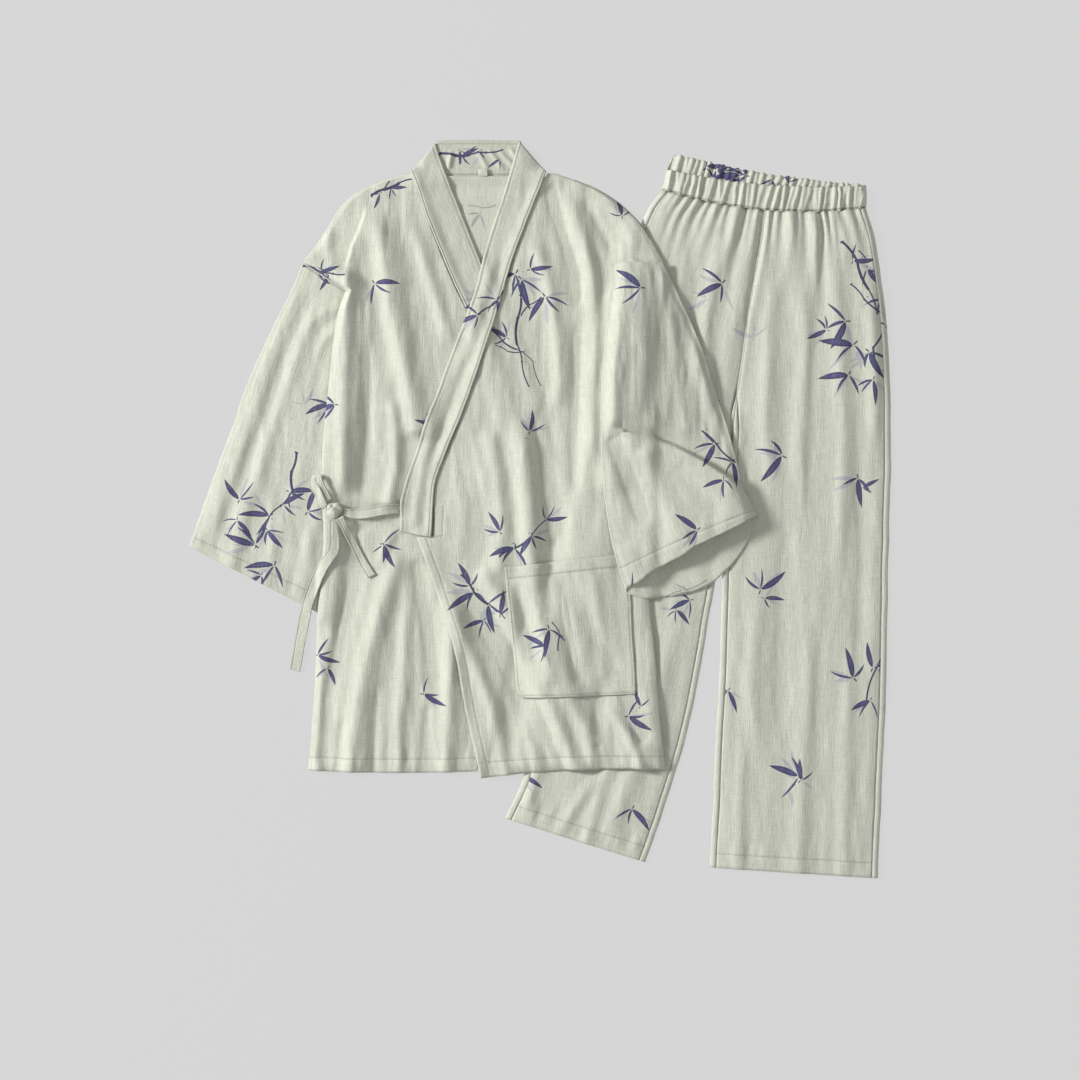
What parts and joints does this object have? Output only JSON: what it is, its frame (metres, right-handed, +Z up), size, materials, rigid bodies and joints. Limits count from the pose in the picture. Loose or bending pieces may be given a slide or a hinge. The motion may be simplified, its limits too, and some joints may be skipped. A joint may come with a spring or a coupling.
{
  "type": "jinbei set",
  "caption": "Jinbei-style set laid flat: wrap jacket with band collar, wide sleeves, patch pocket and side tie, over straight full-length trousers with an elastic waist.",
  "frame": {"origin": "middle of the footprint of the two garments, on the surface they lie on", "axes": "+Z up from the surface, +Y towards the jacket's neck and the trousers' waist, +X towards the side where the trousers lie (the wearer's left)"},
  "size_m": [0.9118, 0.9589, 0.0446],
  "materials": {
    "jacket_cloth": "matt slubbed linen and cotton, bamboo leaf print",
    "collar_cloth": "matt slubbed linen and cotton, folded double",
    "tie_cloth": "matt slubbed linen and cotton, narrow folded strip",
    "trouser_cloth": "matt slubbed linen and cotton, bamboo leaf print"
  },
  "bodies": {
    "root": {"jacket_back": "jacket_cloth", "front_right": "jacket_cloth", "front_left": "jacket_cloth", "sleeve_right": "jacket_cloth", "sleeve_left": "jacket_cloth", "pocket": "jacket_cloth", "collar_left": "collar_cloth", "collar_back": "collar_cloth", "collar_right": "collar_cloth", "neck_tab": "collar_cloth", "tie_strap": "tie_cloth", "tie_knot": "tie_cloth", "tie_loop": "tie_cloth", "tie_tail_short": "tie_cloth", "tie_tail_long": "tie_cloth", "trouser_back_right": "trouser_cloth", "trouser_front_right": "trouser_cloth", "trouser_back_left": "trouser_cloth", "trouser_front_left": "trouser_cloth", "waistband": "trouser_cloth"}
  },
  "joints": []
}
